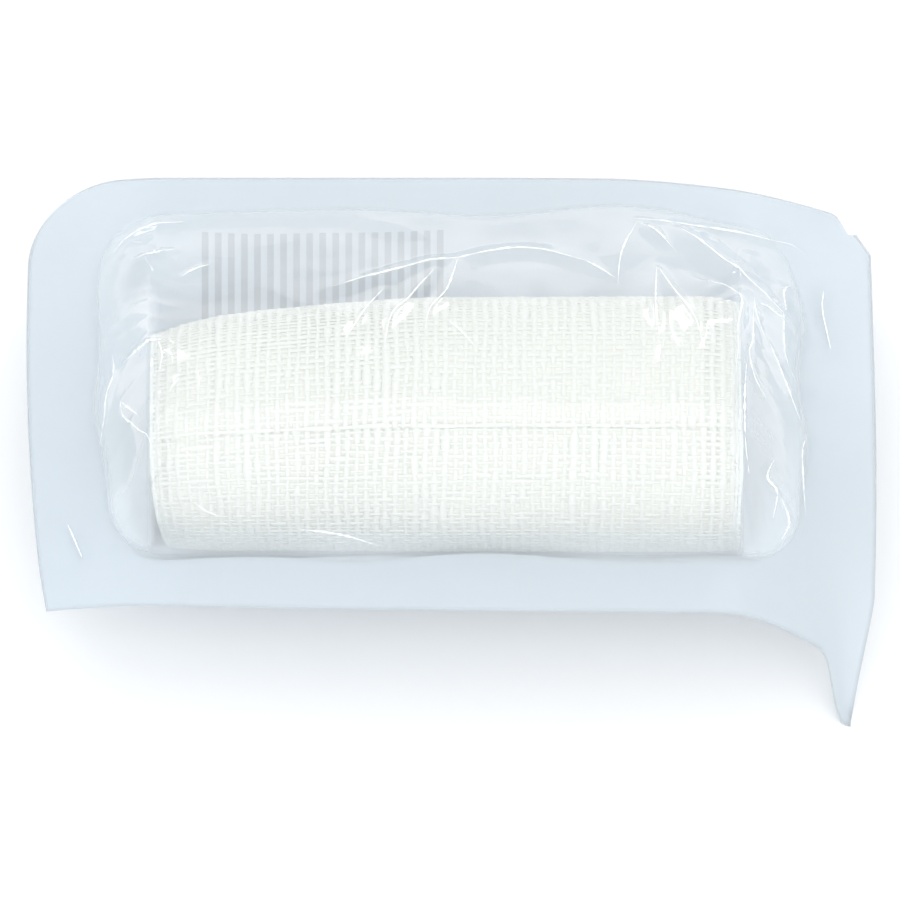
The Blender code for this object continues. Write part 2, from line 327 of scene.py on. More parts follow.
# Creases of the film: the points of the crest, in millimetres from the roll's middle line, how far it
# stands up and how wide each flank is (left and right of the crest as it runs), in millimetres, and
# the share of its full height at both ends
CREASES = (
    # points, rise, left_width, right_width, start_share, end_share
    (((27.9, 30.6), (32.4, 23.5), (37.3, 16.1), (40.5, 14.1), (43.0, 13.4)), 1.9, 3.6, 3.4, 0.1, 0.9),
    (((43.0, 13.4), (43.1, 7.4), (44.7, 5.2)), 1.7, 2.4, 3.0, 1.0, 0.3),
    (((39.9, 11.8), (43.1, 12.6)), 1.2, 1.4, 1.6, 0.6, 1.0),
    (((24.2, 29.7), (29.0, 29.5), (36.0, 28.8), (43.4, 29.4), (46.6, 27.6)), 0.5, 1.0, 1.8, 0.6, 0.2),
    (((24.3, 29.2), (22.1, 20.4), (21.5, 12.5)), 0.7, 1.6, 3.0, 0.2, 0.2),
    (((24.5, 28.8), (26.4, 26.6), (29.2, 22.0)), 1.0, 1.6, 1.8, 0.3, 0.2),
    (((26.6, 17.0), (26.3, 8.4), (26.4, 1.6)), 1.5, 1.8, 3.0, 0.7, 0.1),
    (((27.0, 16.5), (29.2, 9.5), (31.5, 4.2), (32.6, -1.2)), 1.4, 1.6, 3.4, 0.8, 0.1),
    (((33.4, 13.5), (37.1, 8.4), (36.7, 2.4), (36.7, -0.4), (36.2, -4.5)), 2.5, 1.1, 5.8, 0.5, 0.1),
    (((39.1, 12.2), (39.3, 8.5), (40.8, 6.1)), 0.8, 0.9, 1.2, 0.4, 0.3),
    (((38.9, 9.4), (38.7, 3.1), (38.2, 0.3), (38.9, -2.7), (41.2, -4.3)), 1.0, 1.0, 1.3, 0.4, 0.3),
    (((40.5, 7.7), (41.8, 4.5), (44.7, -0.2), (46.5, -1.7)), 1.1, 1.4, 1.8, 0.4, 0.2),
    (((44.3, 22.0), (43.2, 18.7), (43.4, 15.2)), 0.9, 1.2, 1.6, 0.2, 0.9),
    (((37.8, -1.3), (37.5, -6.4), (37.6, -10.8), (38.1, -13.6)), 0.6, 0.7, 0.9, 0.5, 0.3),
    (((41.4, -10.2), (40.5, -12.8), (41.8, -13.6), (41.2, -16.4)), 0.7, 0.7, 0.9, 0.5, 0.3),
    (((42.4, -13.7), (43.4, -15.7), (42.2, -18.1)), 0.5, 0.6, 0.8, 0.5, 0.3),
    (((45.9, -1.8), (45.2, -5.9), (45.6, -14.2)), 0.6, 1.0, 1.8, 0.8, 0.2),
    (((-34.7, 30.0), (-40.6, 28.7), (-43.8, 25.4)), 0.5, 1.0, 2.2, 0.4, 0.3),
    (((-40.3, 21.6), (-38.0, 21.9), (-35.8, 23.2)), 0.6, 0.9, 1.2, 0.4, 0.3),
    (((-34.7, 16.7), (-30.9, 19.2)), 0.6, 0.9, 1.2, 0.4, 0.3),
    (((-36.9, 2.0), (-38.4, 2.1), (-39.9, 2.3), (-42.2, 3.5)), 1.3, 1.4, 1.8, 1.0, 0.2),
    (((-37.2, 1.9), (-36.7, -0.1), (-37.1, -2.6)), 0.9, 1.4, 0.8, 1.0, 0.2),
    (((-34.5, -3.2), (-35.8, -5.1)), 0.4, 0.7, 0.9, 0.4, 0.3),
    (((-31.9, -3.1), (-32.0, -4.7)), 0.4, 0.7, 0.9, 0.4, 0.3),
    (((-42.2, -1.9), (-41.8, -4.1), (-39.9, -8.2), (-38.6, -10.0), (-37.8, -11.5)),
     1.0, 0.9, 1.3, 0.7, 0.2),
    (((-42.0, -2.1), (-39.6, -7.0)), 0.7, 0.6, 0.8, 0.9, 0.2),
    (((-43.5, 8.3), (-43.2, 3.7), (-44.1, 1.7), (-44.4, -0.8), (-45.0, -4.0)), 0.5, 1.1, 1.4, 0.3, 0.3),
    (((-15.4, 13.4), (-7.5, 16.4), (-2.6, 18.9), (1.0, 19.6)), 0.9, 2.2, 3.4, 0.2, 1.0),
    (((1.0, 19.6), (7.1, 22.3), (11.7, 22.1), (17.4, 19.4)), 0.9, 2.2, 2.6, 1.0, 0.4),
    (((17.4, 19.4), (21.5, 14.9)), 0.5, 1.8, 2.0, 0.8, 0.2),
    (((1.0, 18.9), (-0.4, 11.1), (-2.6, 7.0), (-3.3, 2.4)), 1.3, 2.0, 2.2, 0.9, 0.1),
    (((-2.0, 16.8), (-5.1, 9.6), (-7.5, 5.7), (-8.6, -1.0)), 1.2, 2.2, 3.4, 0.6, 0.1),
    (((-8.6, 12.1), (-12.2, 4.2), (-14.4, 0.8)), 0.8, 2.2, 3.0, 0.5, 0.1),
    (((-0.4, 5.3), (3.2, 0.6)), 0.5, 1.6, 2.0, 0.5, 0.2),
    (((-32.6, -16.4), (-31.1, -17.3), (-29.3, -17.6)), 0.6, 0.8, 1.0, 0.4, 0.3),
    (((-19.3, -18.7), (-13.5, -19.4), (-9.0, -20.2)), 0.4, 1.4, 1.6, 0.4, 0.3),
    # These two low folds on the margins rise just past CREST_LEAST_RISE, so that crest tubes paint
    # highlight bars on them
    (((48.5, 21.8), (48.3, 18.4), (49.2, 12.2)), 0.34, 1.0, 1.4, 0.9, 0.8),
    (((-48.9, -15.4), (-47.0, -20.5)), 0.34, 1.0, 1.2, 0.9, 0.8),
)


# Small numeric helpers

def clamp(value, low=0.0, high=1.0):
    return np.clip(value, low, high)


def smooth(value):
    value = clamp(value)
    return value * value * (3 - 2 * value)


class Ripple:
    """Smooth unevenness over a plane or a line: a sum of sines whose directions come from one seed.

    Threads and crests read it at their number times a spacing: the wider that is, the less alike.
    """

    def __init__(self, seed, wavelength, waves=14, spread=0.45):
        draw = np.random.default_rng(seed)
        angle = draw.uniform(0, math.tau, waves)
        pitch = math.tau / (wavelength * np.exp(draw.uniform(-spread, spread, waves)))
        self.along_x = pitch * np.cos(angle)
        self.along_y = pitch * np.sin(angle)
        self.phase = draw.uniform(0, math.tau, waves)
        self.gain = math.sqrt(2 / waves)

    def __call__(self, x, y=0.0):
        x, y = np.broadcast_arrays(np.asarray(x, float), np.asarray(y, float))
        total = np.zeros(x.shape)
        for along_x, along_y, phase in zip(self.along_x, self.along_y, self.phase):
            total += np.sin(along_x * x + along_y * y + phase)
        return total * self.gain


# Mesh makers

def mesh_object(name, points, faces, material, uv=None, shares=()):
    """One mesh. Each point may have a place on the cloth, uv, and a value under each name in shares."""
    mesh = bpy.data.meshes.new(name)
    mesh.from_pydata(points.tolist(), [], faces.tolist())
    mesh.validate()
    for share_name, values in dict(shares).items():
        layer = mesh.attributes.new(share_name, "FLOAT", "POINT")
        layer.data.foreach_set("value", values.astype(np.float32).ravel())
    if uv is not None:
        layer = mesh.uv_layers.new(name="cloth")
        corner_points = np.zeros(len(mesh.loops), np.int32)
        mesh.loops.foreach_get("vertex_index", corner_points)
        layer.data.foreach_set("uv", uv[corner_points].astype(np.float32).ravel())
    mesh.shade_smooth()
    mesh.materials.append(material)
    obj = bpy.data.objects.new(name, mesh)
    bpy.context.scene.collection.objects.link(obj)
    return obj


def grid_object(name, points, material, uv=None, shares=()):
    """A surface through an array of points by rows and columns, facing up where rows run away in +Y."""
    rows, columns = points.shape[:2]
    index = np.arange(rows * columns).reshape(rows, columns)
    faces = np.stack([index[:-1, :-1], index[:-1, 1:], index[1:, 1:], index[1:, :-1]], axis=-1)
    flat_uv = None if uv is None else uv.reshape(-1, 2)
    flat_points = points.reshape(-1, 3) + FRAME_SHIFT
    return mesh_object(name, flat_points, faces.reshape(-1, 4), material, flat_uv, shares)


def thicken(obj, thickness, offset):
    shell = obj.modifiers.new("Wall", "SOLIDIFY")
    shell.thickness = thickness
    shell.offset = offset
    shell.use_even_offset = False
    apply_modifiers(obj)


def apply_modifiers(obj):
    seen = obj.evaluated_get(bpy.context.evaluated_depsgraph_get())
    mesh = bpy.data.meshes.new_from_object(seen)
    obj.modifiers.clear()
    obj.data = mesh


def tubes_object(name, paths, outward, half_widths, half_heights, material):
    """One mesh of closed, flattened tubes. paths and outward hold a row of points for each tube."""
    count, length = paths.shape[:2]
    sides = 4
    along = np.gradient(paths, axis=1)
    along /= np.linalg.norm(along, axis=2, keepdims=True)
    aside = np.cross(along, outward)
    aside /= np.linalg.norm(aside, axis=2, keepdims=True)
    up = np.cross(aside, along)
    turn = np.arange(sides) * math.tau / sides + math.pi / sides
    wide = np.cos(turn)[:, None] * aside[:, :, None, :] * half_widths[:, :, None, None]
    high = np.sin(turn)[:, None] * up[:, :, None, :] * half_heights[:, :, None, None]
    points = paths[:, :, None, :] + (wide + high) * math.sqrt(2)
    index = np.arange(count * length * sides).reshape(count, length, sides)
    after = np.roll(index, -1, axis=2)
    walls = np.stack([index[:, :-1], after[:, :-1], after[:, 1:], index[:, 1:]], axis=-1).reshape(-1, 4)
    faces = np.concatenate([walls, index[:, 0, ::-1], index[:, -1, :]])
    return mesh_object(name, points.reshape(-1, 3) + FRAME_SHIFT, faces, material)


# Materials

class Shader:
    """A node material under construction. Calls add nodes and return their outputs."""

    def __init__(self, name):
        self.material = bpy.data.materials.new(name)
        self.material.use_nodes = True
        self.tree = self.material.node_tree
        self.tree.nodes.clear()
        self.output = self.tree.nodes.new("ShaderNodeOutputMaterial")

    def plug(self, socket, value):
        """Link a socket to another node's output, or set its own value."""
        if isinstance(value, bpy.types.NodeSocket):
            self.tree.links.new(value, socket)
        else:
            socket.default_value = value

    def add(self, kind, inputs=(), **settings):
        node = self.tree.nodes.new("ShaderNode" + kind)
        for name, value in settings.items():
            setattr(node, name, value)
        for key, value in dict(inputs).items():
            self.plug(node.inputs[key], value)
        return node

    def math(self, operation, first, second=0.0, third=0.0):
        return self.add("Math", {0: first, 1: second, 2: third}, operation=operation).outputs[0]

    def noise(self, vector, scale, detail=2.0, roughness=0.5):
        inputs = {"Vector": vector, "Scale": scale, "Detail": detail, "Roughness": roughness}
        return self.add("TexNoise", inputs).outputs["Fac"]

    def stretch(self, vector, scale):
        return self.add("Mapping", {"Vector": vector, "Scale": scale}).outputs[0]

    def blend(self, factor, low, high):
        """Mix of two colours, through the node's sockets for colours."""
        node = self.add("Mix", data_type="RGBA")
        self.plug(node.inputs[0], factor)
        self.plug(node.inputs[6], low)
        self.plug(node.inputs[7], high)
        return node.outputs[2]

    def bump(self, height, strength, distance):
        inputs = {"Height": height, "Strength": strength, "Distance": distance}
        return self.add("Bump", inputs).outputs[0]

    def finish(self, surface):
        self.tree.links.new(surface, self.output.inputs["Surface"])
        return self.material


def gauze_thread_material():
    s = Shader("gauze_thread")
    place = s.add("TexCoord").outputs["Object"]
    fibre = s.noise(place, 9000.0, detail=3.0, roughness=0.7)
    tone = s.noise(place, 900.0)
    color = s.blend(tone, *THREAD_COLORS)
    surface = s.add("BsdfPrincipled", {
        "Base Color": color,
        "Roughness": 0.92,
        "Specular IOR Level": 0.2,
        "Sheen Weight": 0.25,
        "Normal": s.bump(fibre, strength=0.5, distance=0.00004),
    })
    return s.finish(surface.outputs[0])


def gauze_layers_material():
    """The turns under the last one: threads both ways, seen through each other and out of step, with
    painted shade in the gaps between them.
    """
    s = Shader("gauze_layers")
    cloth = s.add("UVMap", uv_map="cloth").outputs[0]
    wander = s.noise(s.stretch(cloth, (300.0, 300.0, 1.0)), 1.0)
    parts = s.add("SeparateXYZ", {0: cloth})
    across, along = parts.outputs[0], parts.outputs[1]
    across = s.math("ADD", across, s.math("MULTIPLY", wander, LAYER_WANDER_ACROSS))
    along = s.math("ADD", along, s.math("MULTIPLY", wander, LAYER_WANDER_ALONG))

    def threads(value, pitch, shift):
        wave = s.math("SINE", s.math("MULTIPLY_ADD", value, math.tau / pitch, shift))
        return s.math("POWER", s.math("MULTIPLY_ADD", wave, 0.5, 0.5), LAYER_NARROWING)

    warp = s.math("MAXIMUM", threads(across, WARP_PITCH, 0.0), threads(across, WARP_PITCH * 0.97, 2.1))
    weft = s.math("MAXIMUM", threads(along, WEFT_PITCH, 0.5), threads(along, WEFT_PITCH * 1.04, 2.6))
    weave = s.math("MAXIMUM", warp, weft)
    tone = s.noise(s.stretch(cloth, (120.0, 120.0, 1.0)), 1.0, detail=3.0)
    # The gaps between the painted threads come out darker: painted shade
    shade = s.math("ADD", s.math("MULTIPLY", weave, WEAVE_PAINTED_SHADE_SHARE), s.math("MULTIPLY", tone, TONE_SHARE))
    color = s.blend(shade, *LAYER_COLORS)
    surface = s.add("BsdfPrincipled", {
        "Base Color": color,
        "Roughness": 0.95,
        "Specular IOR Level": 0.15,
        "Sheen Weight": 0.2,
        "Normal": s.bump(weave, strength=0.6, distance=0.00010),
    })
    return s.finish(surface.outputs[0])


def print_ink(s, place):
    """Ink of the plain printed bars, 0 to 1: all alike and evenly spaced, with nothing written."""
    parts = s.add("SeparateXYZ", {0: place})
    x, y = parts.outputs[0], s.math("SUBTRACT", parts.outputs[1], float(FRAME_SHIFT[1]))
    bar = s.math("SINE", s.math("MULTIPLY", x, math.tau / PRINT_PITCH))
    ink = s.math("MULTIPLY_ADD", bar, PRINT_SHARPNESS, PRINT_FILL)
    ink = s.add("Clamp", {0: ink}).outputs[0]
    for value, (low, high) in ((x, PRINT_ACROSS), (y, PRINT_ALONG)):
        ink = s.math("MULTIPLY", ink, s.math("GREATER_THAN", value, low))
        ink = s.math("MULTIPLY", ink, s.math("LESS_THAN", value, high))
    return s.math("MULTIPLY", ink, PRINT_STRENGTH)


def paper_material():
    """Pouch paper: fibrous and matt, and thin enough for light from behind to come through."""
    s = Shader("pouch_paper")
    place = s.add("TexCoord").outputs["Object"]
    fibre = s.noise(s.stretch(place, (1.0, 1.6, 1.0)), 2600.0, detail=4.0, roughness=0.65)
    cloud = s.noise(place, 90.0, detail=3.0)
    mottle = s.math("ADD", s.math("MULTIPLY", fibre, FIBRE_SHARE),
                    s.math("MULTIPLY", cloud, CLOUD_SHARE))
    cool = s.blend(mottle, *COOL_PAPER)
    neutral = s.blend(mottle, *NEUTRAL_PAPER)
    plain = s.blend(s.noise(place, 26.0, detail=1.0), cool, neutral)
    color = s.blend(print_ink(s, place), plain, INK_COLOR)
    normal = s.bump(fibre, strength=0.35, distance=0.00004)
    face = s.add("BsdfPrincipled", {
        "Base Color": color, "Roughness": 0.75, "Specular IOR Level": 0.2, "Normal": normal})
    through = s.add("BsdfTranslucent", {"Color": color, "Normal": normal})
    both = s.add("MixShader", {0: PAPER_THROUGH, 1: face.outputs[0], 2: through.outputs[0]})
    return s.finish(both.outputs[0])


def film_material():
    """Clear film: see-through with a trace of milky haze, and glossier towards grazing light."""
    s = Shader("clear_film")
    place = s.add("TexCoord").outputs["Object"]
    crinkle = s.noise(place, 520.0, detail=3.0, roughness=0.6)
    normal = s.bump(crinkle, strength=0.35, distance=0.00006)
    clear = s.add("BsdfTransparent", {"Color": CLEAR_FILM}).outputs[0]
    haze = s.add("BsdfDiffuse", {"Color": HAZE_COLOR}).outputs[0]
    # Haze where the film crumples, which is also painted light lifting the shade in the wells and under
    # the roll
    crumple_and_painted_light = s.add("Attribute", attribute_name="crumple_and_painted_light").outputs["Fac"]
    cloudy_and_painted_light = s.math("MULTIPLY_ADD", crumple_and_painted_light, CRUMPLE_AND_PAINTED_LIGHT_HAZE, FILM_HAZE)
    milky = s.add("MixShader", {0: cloudy_and_painted_light, 1: clear, 2: haze}).outputs[0]
    sealed = s.add("Attribute", attribute_name="sealed").outputs["Fac"]
    roughness = s.math("MULTIPLY_ADD", sealed, SEALED_ROUGHNESS, FILM_ROUGHNESS)
    mirror = {"Color": (1, 1, 1, 1), "Roughness": roughness, "Normal": normal}
    gloss = s.add("BsdfGlossy", mirror).outputs[0]
    front = s.math("SUBTRACT", 1.0, s.add("NewGeometry").outputs["Backfacing"])
    fresnel = s.add("Fresnel", {"IOR": 1.5, "Normal": normal}).outputs[0]
    both_faces = s.math("DIVIDE", s.math("MULTIPLY", fresnel, 2.0), s.math("ADD", fresnel, 1.0))
    shine = s.math("MULTIPLY", both_faces, front)
    return s.finish(s.add("MixShader", {0: shine, 1: milky, 2: gloss}).outputs[0])


def crest_and_painted_highlight_material():
    """Film pinched to a fold: whitened, and still glossy; its white is also a painted highlight along the
    crest lines.
    """
    s = Shader("film_fold_painted_highlight")
    surface = s.add("BsdfPrincipled", {
        "Base Color": CREST_PAINTED_HIGHLIGHT_COLOR, "Roughness": 0.22, "Specular IOR Level": 0.6})
    return s.finish(surface.outputs[0])


def floor_material():
    s = Shader("floor_white")
    place = s.add("TexCoord").outputs["Object"]
    tone = s.blend(s.noise(place, 3.0), *FLOOR_COLORS)
    return s.finish(s.add("BsdfPrincipled", {"Base Color": tone, "Roughness": 0.9}).outputs[0])


# Roll

def girth_at(x):
    """Girth of the roll at x, with the steps of its table rounded off."""
    place, girth = np.array(ROLL_TAPER).T
    share = (np.asarray(x, float) - ROLL_LEFT) / BANDAGE_WIDTH
    blur = np.linspace(-TAPER_BLUR, TAPER_BLUR, TAPER_BLUR_STEPS)
    return np.mean([np.interp(share + b, place, girth) for b in blur], axis=0)


def roll_y(x):
    """Where the roll's middle line runs, seen from above."""
    return ROLL_Y - LEFT_BEND * clamp(1 - (x - ROLL_LEFT) / LEFT_BEND_REACH) ** 2


def roll_place(x, radius, angle):
    """A point of the roll, with its flat underside, its girth at x and its left end's lean."""
    girth = girth_at(x)
    up = np.maximum(radius * np.sin(angle), -UNDER_RADIUS * FLAT_SHARE)
    foot = clamp((LEAN_FROM - up / ROLL_RADIUS) / LEAN_OVER) ** LEAN_POWER
    lean = LEFT_LEAN * foot * clamp(1 - (x - ROLL_LEFT) / LEFT_LEAN_REACH) ** 2
    y = roll_y(x) + radius * np.cos(angle) * girth
    z = ROLL_FLOOR + (up + UNDER_RADIUS * FLAT_SHARE) * girth
    return np.stack([x + lean, y, z], axis=-1)


def wound_lengths():
    """Angles and radii of the wound strip under the last turn, from the eye out, by even lengths."""
    outer = ROLL_RADIUS - THREAD_WAVE - 2 * THREAD_RADIUS - LAP_STEP / 2
    length = BANDAGE_LENGTH - math.tau * ROLL_RADIUS
    pitch = math.pi * (outer ** 2 - EYE_RADIUS ** 2) / length
    steps = round(length / STRIP_STEP)
    run = np.linspace(0.0, length, steps + 1)
    radius = np.sqrt(EYE_RADIUS ** 2 + pitch * run / math.pi)
    angle = FREE_END_ANGLE - math.tau * (outer - radius) / pitch
    return run, radius, angle


def make_gauze_turns(material):
    run, radius, angle = wound_lengths()
    depth = 1 - radius / ROLL_RADIUS
    slide_left = LEFT_STRAY * Ripple(21, 0.23)(run) + LEFT_HOLLOW * depth
    slide_right = RIGHT_STRAY * Ripple(22, 0.19)(run) - RIGHT_HOLLOW * depth
    left = ROLL_LEFT + STRIP_SET_IN + slide_left
    right = ROLL_RIGHT - STRIP_SET_IN + slide_right
    x = left[:, None] + (right - left)[:, None] * np.array(STRIP_LINES)[None, :]
    unevenness = STRIP_UNEVEN * Ripple(11, 0.9)(x * 30, run[:, None])
    points = roll_place(x, radius[:, None] + unevenness, angle[:, None] + 0 * x)
    uv = np.stack([x - ROLL_LEFT, run[:, None] + 0 * x], axis=-1)
    turns = grid_object("gauze_turns", points, material, uv)
    thicken(turns, GAUZE_THICKNESS, 0.0)
    return turns


def last_turn_radius(angle):
    """Radius of the last turn's middle, from the free end down to where it slips under it."""
    share = (FREE_END_ANGLE - angle) / math.tau
    return ROLL_RADIUS - THREAD_WAVE - THREAD_RADIUS - LAP_STEP * share


def warp_places():
    """Places across the width of the threads that run round the roll, closer at both edges."""
    edge = [SELVAGE_PITCH * k for k in range(SELVAGE_THREADS)]
    inner_left = ROLL_LEFT + edge[-1] + WARP_PITCH
    inner_right = ROLL_RIGHT - edge[-1] - WARP_PITCH
    count = round((inner_right - inner_left) / WARP_PITCH)
    middle = np.linspace(inner_left, inner_right, count + 1)
    return np.concatenate([ROLL_LEFT + np.array(edge), middle, ROLL_RIGHT - np.array(edge[::-1])])


def weft_count():
    return round(math.tau * ROLL_RADIUS / WEFT_PITCH)


def make_warp(material):
    """Threads that run round the roll, each straying a little alone and a little with the rest."""
    places = warp_places()
    count = weft_count()
    crossings = np.linspace(WARP_START, count + LAP_THREADS, 2 * (count + LAP_THREADS) + 1)
    angle = FREE_END_ANGLE - crossings * math.tau / count
    draw = np.random.default_rng(31)
    thread = np.arange(len(places))[:, None]
    wander = WARP_STRAY_ALONE * Ripple(32, 14.0)(crossings[None, :], thread * 3.1)
    wander = wander + WARP_STRAY_TOGETHER * Ripple(33, 40.0)(crossings[None, :], thread * 0.8)
    x = places[:, None] + wander * smooth((places[:, None] - ROLL_LEFT) / SELVAGE_FADE)
    wave = THREAD_WAVE * np.cos(math.pi * (crossings[None, :] + thread))
    radius = last_turn_radius(angle)[None, :] + wave
    points = roll_place(x, radius, angle[None, :] + 0 * x)
    outward = np.stack([0 * x, np.cos(angle)[None, :] + 0 * x, np.sin(angle)[None, :] + 0 * x], axis=-1)
    girth = draw.uniform(*WARP_GIRTHS, len(places))[:, None]
    girth = girth * (1 + GIRTH_CHANGE * Ripple(34, 5.0)(crossings[None, :], thread * 7.7))
    half_width = girth * np.minimum(WARP_WIDTH, WARP_FILL * np.gradient(places))[:, None] / 2
    return tubes_object("gauze_warp", points, outward, half_width, girth * THREAD_RADIUS, material)


def make_weft(material):
    """Threads that run along the roll, straying in the same two ways."""
    places = warp_places()
    count = weft_count()
    row = np.arange(count)[:, None]
    last = len(places) - 1
    thread = np.linspace(-WEFT_OVERHANG, last + WEFT_OVERHANG, 2 * len(places) + 1)[None, :]
    x = np.interp(thread, np.arange(len(places)), places)
    x = np.where(thread < 0, places[0] + thread * THREAD_END, x)
    x = np.where(thread > last, places[-1] + (thread - last) * THREAD_END, x)
    alone = WEFT_STRAY_ALONE * Ripple(42, 12.0)(thread, row * 2.7)
    together = WEFT_STRAY_TOGETHER * Ripple(43, 50.0)(thread, row * 0.6)
    angle = FREE_END_ANGLE - (row + (alone + together)) * math.tau / count
    wave = -THREAD_WAVE * np.cos(math.pi * (row + thread))
    points = roll_place(x + 0 * angle, last_turn_radius(angle) + wave, angle)
    outward = np.stack([0 * angle, np.cos(angle), np.sin(angle)], axis=-1)
    draw = np.random.default_rng(41)
    girth = draw.uniform(*WEFT_GIRTHS, count)[:, None]
    girth = girth * (1 + GIRTH_CHANGE * Ripple(44, 4.0)(thread, row * 5.3))
    half_width = girth * WEFT_WIDTH / 2
    return tubes_object("gauze_weft", points, outward, half_width, girth * THREAD_RADIUS, material)


# Pouch: the outline and margin of the solids, with the sheets draped round the dressed roll

def round_far_left(x, y):
    s = clamp((EDGE_LEFT + ROUND_CORNER - x) / ROUND_CORNER)
    t = clamp((y - EDGE_FAR + ROUND_CORNER) / ROUND_CORNER)
    return (x + ROUND_CORNER * s * (1 - np.sqrt(1 - t * t / 2)),
            y - ROUND_CORNER * t * (1 - np.sqrt(1 - s * s / 2)))


def cut_far_right(x, y):
    s = clamp((x - EDGE_RIGHT + CUT_ACROSS) / CUT_ACROSS)
    t = clamp((y - EDGE_FAR + CUT_ALONG) / CUT_ALONG)
    drawn_in = np.where((s > 0) & (t > 0), 1 - np.maximum(s, t) / np.maximum(s + t, 1e-9), 0.0)
    return x - CUT_ACROSS * s * drawn_in, y - CUT_ALONG * t * drawn_in


def draw_out_tail(x, y):
    distance = np.hypot(x - NEAR_RIGHT[0], y - NEAR_RIGHT[1])
    pull = clamp(1 - (distance / TAIL_REACH) ** 2) ** 2
    return x - TAIL_IN * pull, y - TAIL_OUT * pull


def plan_point(x, y):
    """Where a point of the plain rectangle lies once the outline has its bows and corners."""
    in_left = clamp((CAVITY_LEFT - x) / SEAL_LEFT)
    in_right = clamp((x - CAVITY_RIGHT) / SEAL_RIGHT)
    in_near = clamp((CAVITY_NEAR - y) / SEAL_NEAR)
    in_far = clamp((y - CAVITY_FAR) / SEAL_FAR)
    share_x = clamp((x - EDGE_LEFT) / (EDGE_RIGHT - EDGE_LEFT))
    share_y = clamp((y - EDGE_NEAR) / (EDGE_FAR - EDGE_NEAR))
    bowed_x = x + LEFT_SET_IN * in_left * clamp(1 - share_y / LEFT_BOW) ** 2
    bowed_x = bowed_x - RIGHT_SET_IN * in_right * clamp(1 - share_y / RIGHT_BOW) ** 2
    bowed_y = y + NEAR_SET_IN * in_near * (1 - share_x) ** 2
    bowed_y = bowed_y - FAR_SET_IN * in_far * clamp(share_x * 2 - 1) ** 3
    return draw_out_tail(*cut_far_right(*round_far_left(bowed_x, bowed_y)))


def margin_height(x, y):
    """Height of the sealed margin over the table, at a place seen from above."""
    left = clamp((ROLL_LEFT - x) / (ROLL_LEFT - EDGE_LEFT))
    right = clamp((x - ROLL_RIGHT) / (EDGE_RIGHT - ROLL_RIGHT))
    height = MARGIN_HEIGHT - SAG_LEFT * left ** SAG_POWER - SAG_RIGHT * right ** SAG_POWER
    from_far_right = np.hypot(x - EDGE_RIGHT, y - EDGE_FAR) / SAG_FAR_REACH
    height = height - SAG_FAR_RIGHT * clamp(1 - from_far_right) ** SAG_POWER
    from_tip = np.hypot((x - TIP[0]) / DROOP_ACROSS, (y - TIP[1]) / DROOP_ALONG)
    height = height - MARGIN_HEIGHT * clamp(1 - from_tip) ** DROOP_POWER
    return np.maximum(height, PAPER_THICKNESS)


def touch_point(y, z, radius, axis, side, end):
    """Where a sheet from (y, z) touches the roll: side 1 over, -1 under; end 1 far, -1 near."""
    distance = np.hypot(y, z - axis)
    angle = np.arctan2(z - axis, y) + side * end * np.arccos(clamp(radius / distance))
    return radius * np.cos(angle), axis + radius * np.sin(angle)


def drawn_round(y, middle, near_height, far_height, radius, axis, side):
    """Height of a sheet drawn tight round the roll between its two seals."""
    y, near_seal, far_seal = y - middle, CAVITY_NEAR - middle, CAVITY_FAR - middle
    near_y, near_z = touch_point(near_seal, near_height, radius, axis, side, -1)
    far_y, far_z = touch_point(far_seal, far_height, radius, axis, side, 1)
    near_line = near_height + (near_z - near_height) * (y - near_seal) / (near_y - near_seal)
    far_line = far_height + (far_z - far_height) * (far_seal - y) / (far_seal - far_y)
    around = axis + side * np.sqrt(np.maximum(radius ** 2 - y ** 2, 0))
    return np.where(y < near_y, near_line, np.where(y > far_y, far_line, around))


def end_share(x, side):
    """1 along the roll, falling to 0 at the seal past either end of it."""
    past_left = (ROLL_LEFT - END_EASE - x) / (ROOM_LEFT - END_EASE)
    past_right = (x - ROLL_RIGHT - END_EASE) / (ROOM_RIGHT - END_EASE)
    past = clamp(np.maximum(past_left, past_right))
    if side < 0:
        return np.exp(-(past / PAPER_END_REACH) ** 2)
    rounded = np.maximum(np.cos(past * math.pi / 2), 0.0) ** FILM_END_POWER
    return FILM_END_ROUND * rounded + FILM_END_STRAIGHT * (1 - past)


def cavity_room(x, y):
    """How far x, y lies inside the cavity's left or right side, and inside its near or far side."""
    return np.minimum(x - CAVITY_LEFT, CAVITY_RIGHT - x), np.minimum(y - CAVITY_NEAR, CAVITY_FAR - y)


def inside_share(x, y, fade):
    """0 at the cavity's sides, rising to 1 once x, y lies as far as fade inside them."""
    from_side, from_edge = cavity_room(x, y)
    return np.minimum(smooth(from_side / fade), smooth(from_edge / fade))


def corner_share(x, y):
    """1 in the cavity, falling to 0 at the arcs that round its four corners."""
    from_side, from_edge = cavity_room(x, y)
    nearest = np.minimum(from_side, from_edge)
    radius = np.where((x < 0) & (y < 0), CAVITY_CORNER_NEAR_LEFT, CAVITY_CORNER)
    from_arc = radius - np.hypot(radius - from_side, radius - from_edge)
    in_corner = (from_side < radius) & (from_edge < radius)
    return np.where(in_corner, clamp(from_arc / np.maximum(nearest, 1e-6)), 1.0)


def cavity_depth(x, y):
    """How far inside the cavity's outline x, y lies, and 0 outside it."""
    return np.maximum(np.minimum(*cavity_room(x, y)), 0) * corner_share(x, y)


